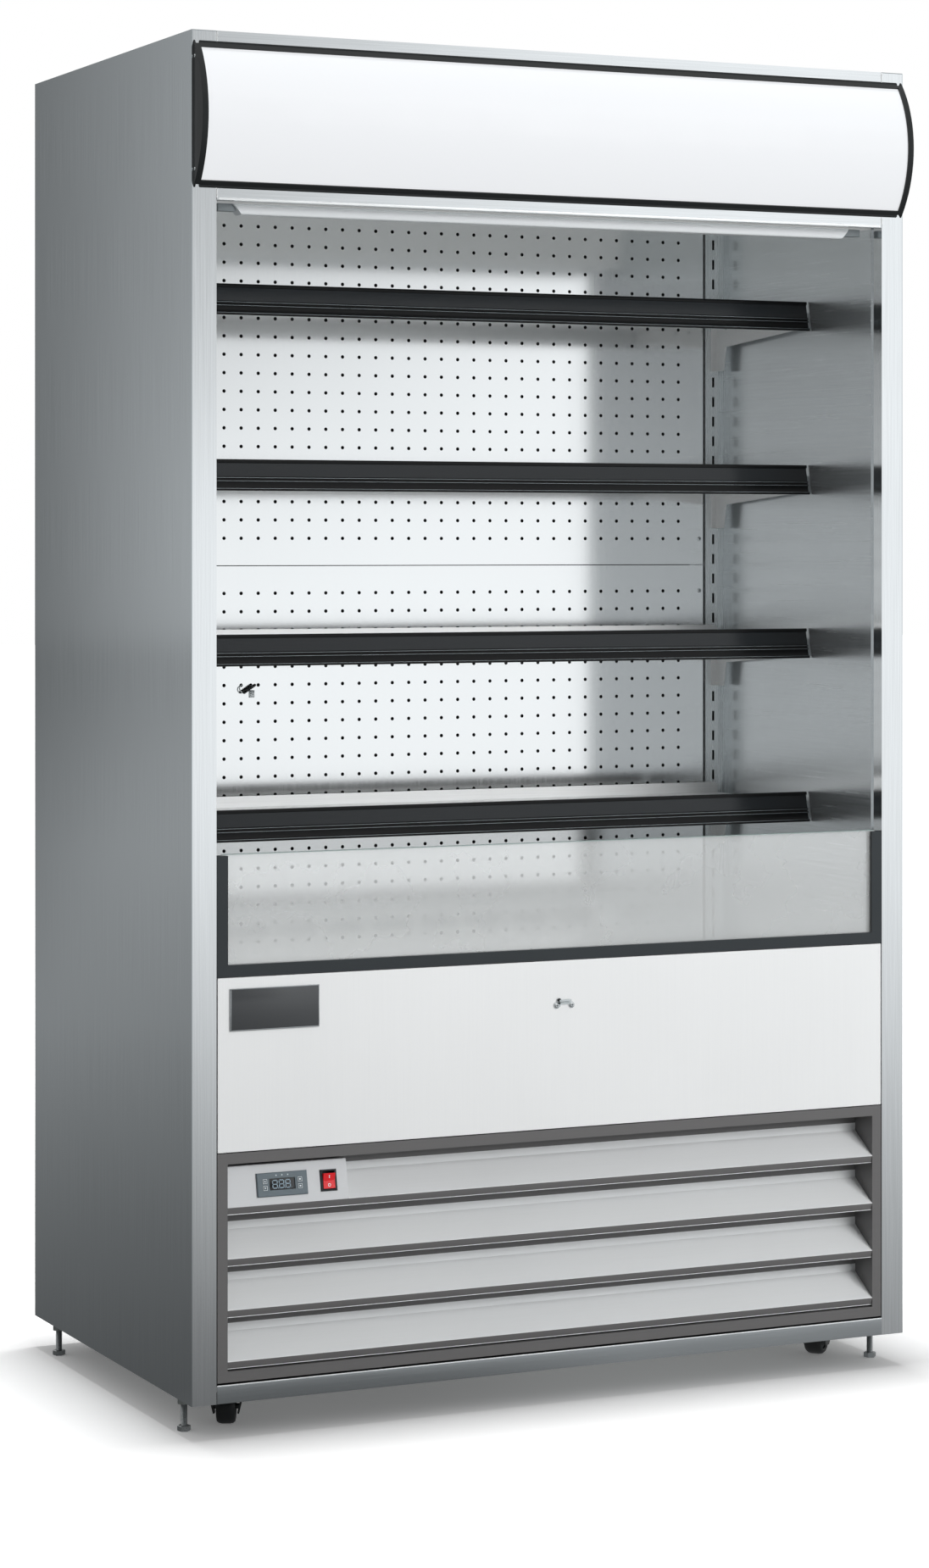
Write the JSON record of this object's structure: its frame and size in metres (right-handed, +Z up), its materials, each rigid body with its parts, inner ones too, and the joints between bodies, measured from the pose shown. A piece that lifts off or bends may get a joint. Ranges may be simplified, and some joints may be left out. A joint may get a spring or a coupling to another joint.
{
  "type": "open display refrigerator",
  "caption": "Tall open-front display refrigerator with lit sign canopy, hooked shelves, glass riser, louvred base, casters and a pull-down night curtain.",
  "frame": {"origin": "on the floor, under the middle of the box that holds the whole fridge", "axes": "+Z up; the open front faces -Y; +X to the right seen from the front"},
  "size_m": [1.175, 0.732, 2],
  "materials": {
    "side_steel": "brushed, vertical grain",
    "pillar_steel": "brushed, satin",
    "liner_steel": "brushed, satin",
    "panel_steel": "brushed, satin",
    "kick_steel": "brushed, satin",
    "galvanised": "spangled, dull",
    "zinc": "zinc plated",
    "foam": "rigid foam",
    "anodised_dark": "dark anodised",
    "bright_aluminium": "extruded, satin",
    "opal": "opal, glossy",
    "lamp_glass": "frosted",
    "diffuser": "frosted",
    "shelf_paint": "powder coated, satin",
    "black_plastic": "extruded, satin",
    "black_gloss": "moulded, glossy",
    "clear_glass": "clear, toughened",
    "dark_plate": "blank, bevelled",
    "louvre_paint": "metallic grey, satin",
    "frame_paint": "dark grey, satin",
    "bezel": "moulded, fine grain",
    "button_rubber": "moulded",
    "rocker_red": "translucent red",
    "wheel_nylon": "moulded, satin",
    "black_paint": "black, satin",
    "fin_aluminium": "mill finish",
    "curtain_fabric": "woven, grey white"
  },
  "bodies": {
    "cabinet": {"side_panels": "side_steel", "front_pillars": "pillar_steel", "outer_casing": "galvanised", "insulation": "foam", "inner_liner": "liner_steel", "header_panel": "panel_steel", "canopy_frame": "anodised_dark", "canopy_sign_panel": "opal", "canopy_led_bars": "lamp_glass", "lamp_diffuser": "diffuser", "air_outlet": "liner_steel", "slotted_uprights": "galvanised", "back_panels": "liner_steel", "deck_and_return_grille": "liner_steel", "front_panel": "panel_steel", "front_panel_fittings": "dark_plate", "glass_channels": "black_plastic", "front_glass": "clear_glass", "louvre_frame": "frame_paint", "louvre_slats": "louvre_paint", "control_panel": "frame_paint", "controller": "bezel", "rocker_housing": "black_gloss", "kick_plate": "kick_steel", "base_frame": "galvanised", "caster_plates": "zinc", "condenser_unit": "fin_aluminium", "compressor_bay": "black_paint", "evaporator_unit": "fin_aluminium", "sensor_clip": "black_plastic"},
    "rocker": {"power_rocker": "rocker_red"},
    "up_button": {"button_up": "button_rubber"},
    "down_button": {"button_down": "button_rubber"},
    "lamp_button": {"button_lamp": "button_rubber"},
    "set_button": {"button_set": "button_rubber"},
    "foot_front_left": {"levelling_foot_front_left": "zinc"},
    "foot_front_right": {"levelling_foot_front_right": "zinc"},
    "foot_rear_left": {"levelling_foot_rear_left": "zinc"},
    "foot_rear_right": {"levelling_foot_rear_right": "zinc"},
    "fork_front_left": {"caster_fork_front_left": "black_paint"},
    "wheel_front_left": {"caster_wheel_front_left": "wheel_nylon"},
    "fork_front_right": {"caster_fork_front_right": "black_paint"},
    "wheel_front_right": {"caster_wheel_front_right": "wheel_nylon"},
    "wheel_rear_left": {"caster_wheel_rear_left": "wheel_nylon"},
    "wheel_rear_right": {"caster_wheel_rear_right": "wheel_nylon"},
    "evaporator_fan_left": {"evaporator_fan_left": "black_plastic"},
    "evaporator_fan_right": {"evaporator_fan_right": "black_plastic"},
    "condenser_fan": {"condenser_fan": "black_plastic"},
    "shelf_1": {"shelf_1": "shelf_paint", "price_rail_1": "black_plastic"},
    "shelf_2": {"shelf_2": "shelf_paint", "price_rail_2": "black_plastic"},
    "shelf_3": {"shelf_3": "shelf_paint", "price_rail_3": "black_plastic"},
    "shelf_4": {"shelf_4": "shelf_paint", "price_rail_4": "black_plastic"},
    "curtain_bar": {"curtain_pull_bar": "bright_aluminium"},
    "curtain_roller": {"curtain_roller": "curtain_fabric"}
  },
  "joints": [
    {"name": "rocker_tilt", "type": "hinge", "parent": "cabinet", "child": "rocker", "pos_m": [-0.375, -0.32065, 0.35459], "axis": [1, 0, 0], "range_deg": [-18, 0]},
    {"name": "button_up_press", "type": "slide", "parent": "cabinet", "child": "up_button", "axis": [0, 0.9785, -0.206], "range_m": [0, 0.0006], "stiffness_N_per_m": 800, "springref_m": -0.0006},
    {"name": "button_down_press", "type": "slide", "parent": "cabinet", "child": "down_button", "axis": [0, 0.9785, -0.206], "range_m": [0, 0.0006], "stiffness_N_per_m": 800, "springref_m": -0.0006},
    {"name": "button_lamp_press", "type": "slide", "parent": "cabinet", "child": "lamp_button", "axis": [0, 0.9785, -0.206], "range_m": [0, 0.0006], "stiffness_N_per_m": 800, "springref_m": -0.0006},
    {"name": "button_set_press", "type": "slide", "parent": "cabinet", "child": "set_button", "axis": [0, 0.9785, -0.206], "range_m": [0, 0.0006], "stiffness_N_per_m": 800, "springref_m": -0.0006},
    {"name": "foot_front_left_thread", "type": "slide", "parent": "cabinet", "child": "foot_front_left", "axis": [0, 0, -1], "range_m": [-0.004, 0.015]},
    {"name": "foot_front_right_thread", "type": "slide", "parent": "cabinet", "child": "foot_front_right", "axis": [0, 0, -1], "range_m": [-0.004, 0.015]},
    {"name": "foot_rear_left_thread", "type": "slide", "parent": "cabinet", "child": "foot_rear_left", "axis": [0, 0, -1], "range_m": [-0.004, 0.015]},
    {"name": "foot_rear_right_thread", "type": "slide", "parent": "cabinet", "child": "foot_rear_right", "axis": [0, 0, -1], "range_m": [-0.004, 0.015]},
    {"name": "caster_front_left_swivel", "type": "hinge", "parent": "cabinet", "child": "fork_front_left", "pos_m": [-0.4895, -0.217, 0.06], "axis": [0, 0, 1], "continuous": true},
    {"name": "caster_front_left_roll", "type": "hinge", "parent": "fork_front_left", "child": "wheel_front_left", "pos_m": [-0.50049, -0.24056, 0.025], "axis": [-0.9063, 0.4226, 0], "continuous": true},
    {"name": "caster_front_right_swivel", "type": "hinge", "parent": "cabinet", "child": "fork_front_right", "pos_m": [0.4895, -0.217, 0.06], "axis": [0, 0, 1], "continuous": true},
    {"name": "caster_front_right_roll", "type": "hinge", "parent": "fork_front_right", "child": "wheel_front_right", "pos_m": [0.50912, -0.19994, 0.025], "axis": [0.6561, -0.7547, 0], "continuous": true},
    {"name": "caster_rear_left_roll", "type": "hinge", "parent": "cabinet", "child": "wheel_rear_left", "pos_m": [-0.4895, 0.3, 0.025], "axis": [1, 0, 0], "continuous": true},
    {"name": "caster_rear_right_roll", "type": "hinge", "parent": "cabinet", "child": "wheel_rear_right", "pos_m": [0.4895, 0.3, 0.025], "axis": [1, 0, 0], "continuous": true},
    {"name": "evaporator_fan_left_spin", "type": "hinge", "parent": "cabinet", "child": "evaporator_fan_left", "pos_m": [-0.255, -0.078, 0.5205], "axis": [0, 1, 0], "continuous": true},
    {"name": "evaporator_fan_right_spin", "type": "hinge", "parent": "cabinet", "child": "evaporator_fan_right", "pos_m": [0.255, -0.078, 0.5205], "axis": [0, 1, 0], "continuous": true},
    {"name": "condenser_fan_spin", "type": "hinge", "parent": "cabinet", "child": "condenser_fan", "pos_m": [0.06, -0.168, 0.2215], "axis": [0, 1, 0], "continuous": true},
    {"name": "shelf_1_lift", "type": "slide", "parent": "cabinet", "child": "shelf_1", "axis": [0, 0, 1], "range_m": [0, 0.008]},
    {"name": "shelf_2_lift", "type": "slide", "parent": "cabinet", "child": "shelf_2", "axis": [0, 0, 1], "range_m": [0, 0.008]},
    {"name": "shelf_3_lift", "type": "slide", "parent": "cabinet", "child": "shelf_3", "axis": [0, 0, 1], "range_m": [0, 0.008]},
    {"name": "shelf_4_lift", "type": "slide", "parent": "cabinet", "child": "shelf_4", "axis": [0, 0, 1], "range_m": [0, 0.008]},
    {"name": "curtain_pull", "type": "slide", "parent": "cabinet", "child": "curtain_bar", "axis": [0, -0.0266, -0.9996], "range_m": [0, 1.1634], "stiffness_N_per_m": 8, "springref_m": -1},
    {"name": "curtain_roll", "type": "hinge", "parent": "cabinet", "child": "curtain_roller", "pos_m": [0, -0.292, 1.8], "axis": [1, 0, 0], "range_deg": [0, 3709]}
  ],
  "couplings": [
    {"joint": "curtain_roll", "follows": "curtain_pull", "rad_per_m": 55.556}
  ]
}
